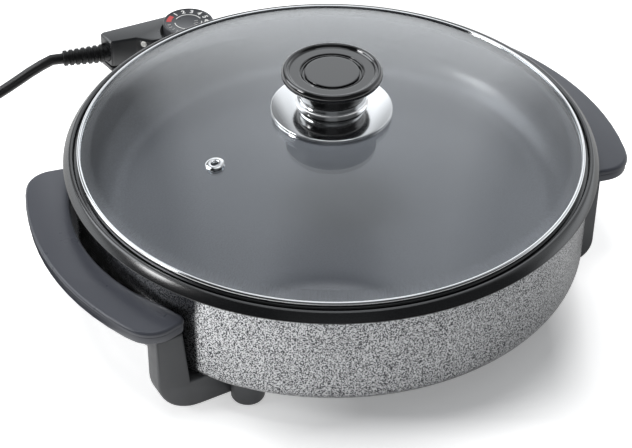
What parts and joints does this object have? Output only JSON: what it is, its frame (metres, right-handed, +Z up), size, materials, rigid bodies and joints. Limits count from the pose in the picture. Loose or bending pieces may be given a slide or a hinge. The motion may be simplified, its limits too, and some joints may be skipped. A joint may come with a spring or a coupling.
{
  "type": "electric skillet",
  "caption": "Round electric skillet with a lift-off domed glass lid, bow-shaped side handles on legs and a plug-in temperature controller with a dial and a cord.",
  "frame": {"origin": "On the surface the feet rest on, at the middle of the footprint, the cord, plug and strain relief left out.", "axes": "Z up; the two handles lie along X; the temperature controller is at +Y and its cord leaves toward -X."},
  "size_m": [0.4592, 0.3973, 0.1379],
  "materials": {
    "nonstick": "dark satin non-stick coating",
    "hammertone": "silver-grey hammered enamel",
    "zinc_sheet": "plain zinc-plated sheet",
    "aluminium": "rolled",
    "element_steel": "dull steel sheath",
    "steel": "plain",
    "nickel": "nickel-plated",
    "ceramic": "unglazed ceramic",
    "black_plastic": "fine matt",
    "satin_plastic": "satin black",
    "leg_plastic": "matt black",
    "rubber": "matt",
    "glass": "clear tempered",
    "chrome": "bright",
    "polished_steel": "polished",
    "gloss_plastic": "glossy black",
    "silicone": "matt",
    "dial_plastic": "satin",
    "lamp_lens": "translucent white",
    "cord_rubber": "matt"
  },
  "bodies": {
    "pan": {"base_cover": "zinc_sheet", "cooking_pan": "nonstick", "cover_nut": "steel", "cover_stud": "steel", "foot_pad_front_left": "rubber", "foot_pad_front_right": "rubber", "foot_pad_rear_left": "rubber", "foot_pad_rear_right": "rubber", "guard_screw_left": "steel", "guard_screw_right": "steel", "handle_frame_left": "satin_plastic", "handle_frame_right": "satin_plastic", "handle_plate_left": "satin_plastic", "handle_plate_right": "satin_plastic", "heat_spreader": "aluminium", "heating_element": "element_steel", "leg_front_left": "leg_plastic", "leg_front_right": "leg_plastic", "leg_rear_left": "leg_plastic", "leg_rear_right": "leg_plastic", "outer_casing": "hammertone", "probe_well": "steel", "socket_guard": "black_plastic", "terminal_block": "ceramic", "terminal_pin_left": "nickel", "terminal_pin_right": "nickel", "wall_screw_front_left": "steel", "wall_screw_front_right": "steel", "wall_screw_rear_left": "steel", "wall_screw_rear_right": "steel"},
    "lid": {"lid_glass": "glass", "lid_band": "chrome", "vent_eyelet": "chrome", "knob_disc": "polished_steel", "knob_collar": "polished_steel", "knob_grip": "gloss_plastic", "knob_inlay": "gloss_plastic", "glass_washer_upper": "silicone", "glass_washer_lower": "silicone", "screw_washer": "steel", "knob_screw": "steel"},
    "controller": {"controller_upper_housing": "satin_plastic", "controller_lower_housing": "satin_plastic", "thermostat_carrier": "ceramic", "sensing_probe": "steel", "contact_sleeve_left": "nickel", "contact_sleeve_right": "nickel", "bimetal_blade": "nickel", "pilot_lamp": "lamp_lens", "controller_screw": "steel", "strain_relief": "cord_rubber", "power_cord_free": "cord_rubber", "power_cord_coil": "cord_rubber", "power_cord_tail": "cord_rubber", "plug_body": "cord_rubber", "plug_blade_left": "nickel", "plug_blade_right": "nickel"},
    "dial": {"temperature_dial": "dial_plastic", "dial_spindle": "nickel"}
  },
  "joints": [
    {"name": "lid_lift", "type": "slide", "parent": "pan", "child": "lid", "axis": [0, 0, 1], "range_m": [0, 0.15]},
    {"name": "controller_pull", "type": "slide", "parent": "pan", "child": "controller", "axis": [0, 1, 0], "range_m": [0, 0.07]},
    {"name": "dial_turn", "type": "hinge", "parent": "controller", "child": "dial", "pos_m": [-0.0076, 0.1532, 0.069], "axis": [0, 0, -1], "range_deg": [0, 270]}
  ]
}
